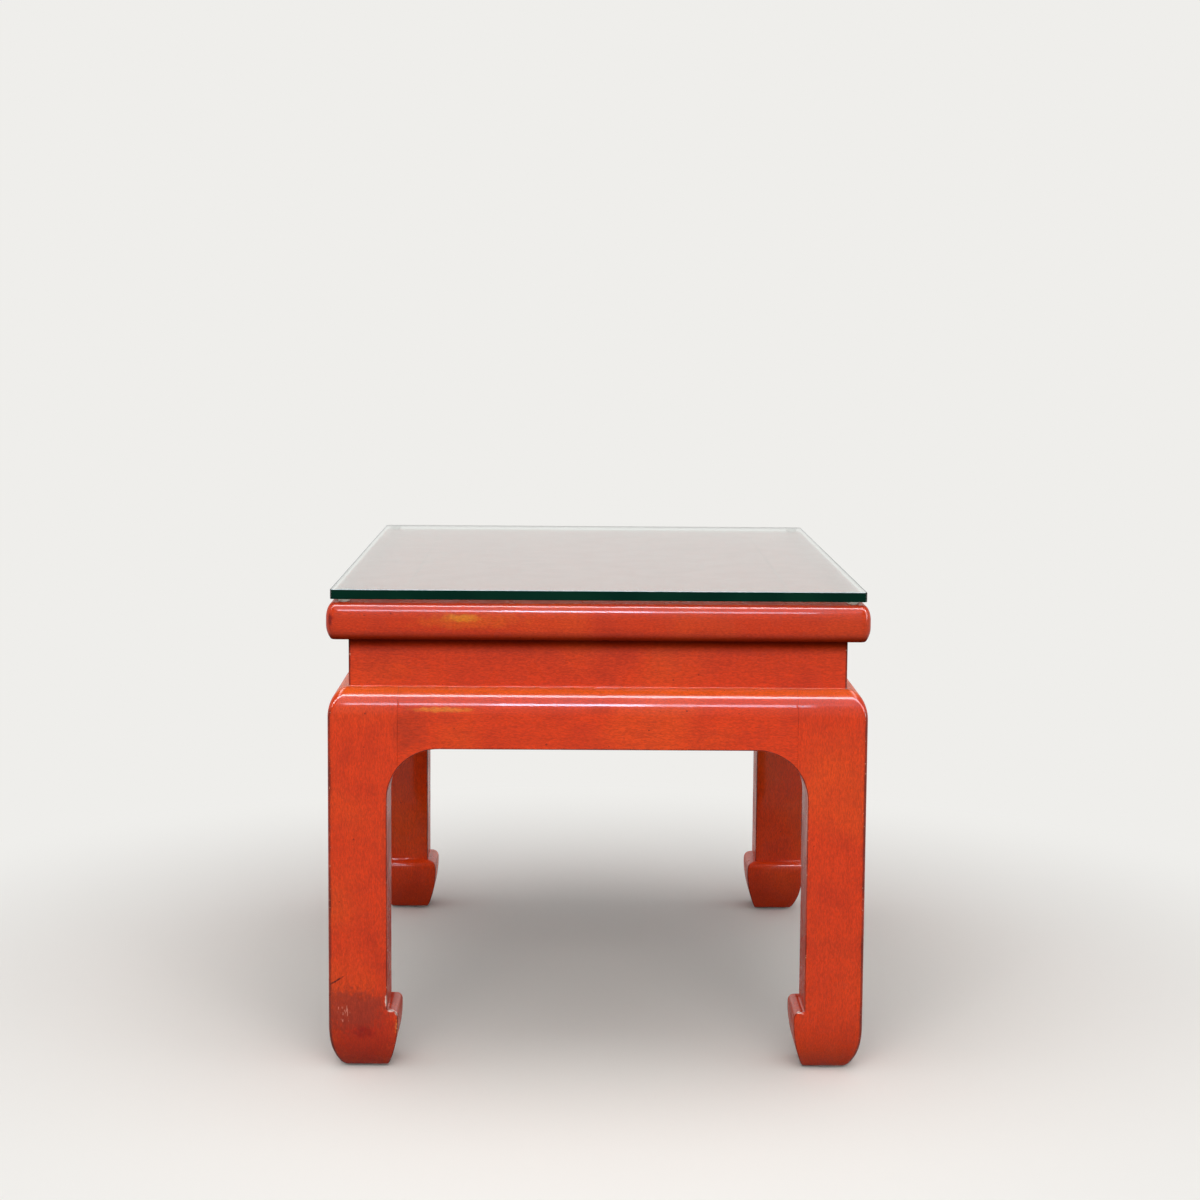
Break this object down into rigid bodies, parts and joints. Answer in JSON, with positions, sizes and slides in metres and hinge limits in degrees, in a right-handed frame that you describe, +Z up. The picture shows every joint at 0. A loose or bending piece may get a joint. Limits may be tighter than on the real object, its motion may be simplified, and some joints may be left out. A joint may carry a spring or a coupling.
{
  "type": "coffee table",
  "caption": "Waisted coffee table in orange-red lacquer, seen from its end, with arched aprons, hoof feet and a loose glass sheet on clear bumpers.",
  "frame": {"origin": "on the floor, below the centre of the top", "axes": "+Z up, -Y the side the picture shows, +X to the right in the picture"},
  "size_m": [0.55, 0.726, 0.4965],
  "materials": {
    "lacquer": "gloss orange-red lacquer, hand rubbed",
    "inner_wood": "plain sawn hardwood",
    "glass": "clear float glass with polished edges",
    "clear_rubber": "clear soft plastic",
    "nylon": "white nylon",
    "steel": "bright zinc"
  },
  "bodies": {
    "table": {"apron_back": "lacquer", "apron_front": "lacquer", "apron_left": "lacquer", "apron_right": "lacquer", "cleat_back": "inner_wood", "cleat_front": "inner_wood", "cleat_left": "inner_wood", "cleat_right": "inner_wood", "corner_block_back_left": "inner_wood", "corner_block_back_right": "inner_wood", "corner_block_front_left": "inner_wood", "corner_block_front_right": "inner_wood", "corner_block_screws": "steel", "glass_pad_back_left": "clear_rubber", "glass_pad_back_right": "clear_rubber", "glass_pad_front_left": "clear_rubber", "glass_pad_front_right": "clear_rubber", "glide_back_left": "nylon", "glide_back_right": "nylon", "glide_front_left": "nylon", "glide_front_right": "nylon", "glide_nails": "steel", "leg_back_left": "lacquer", "leg_back_right": "lacquer", "leg_front_left": "lacquer", "leg_front_right": "lacquer", "mitre_splines": "inner_wood", "panel_batten_left": "inner_wood", "panel_batten_right": "inner_wood", "top_frame_back": "lacquer", "top_frame_front": "lacquer", "top_frame_left": "lacquer", "top_frame_right": "lacquer", "top_panel": "lacquer", "top_screws": "steel", "waist_back": "lacquer", "waist_front": "lacquer", "waist_left": "lacquer", "waist_right": "lacquer", "waist_screws": "steel"},
    "glass": {"glass_top": "glass"}
  },
  "joints": [
    {"name": "glass_lift", "type": "slide", "parent": "table", "child": "glass", "axis": [0, 0, 1], "range_m": [0, 0.3]}
  ]
}
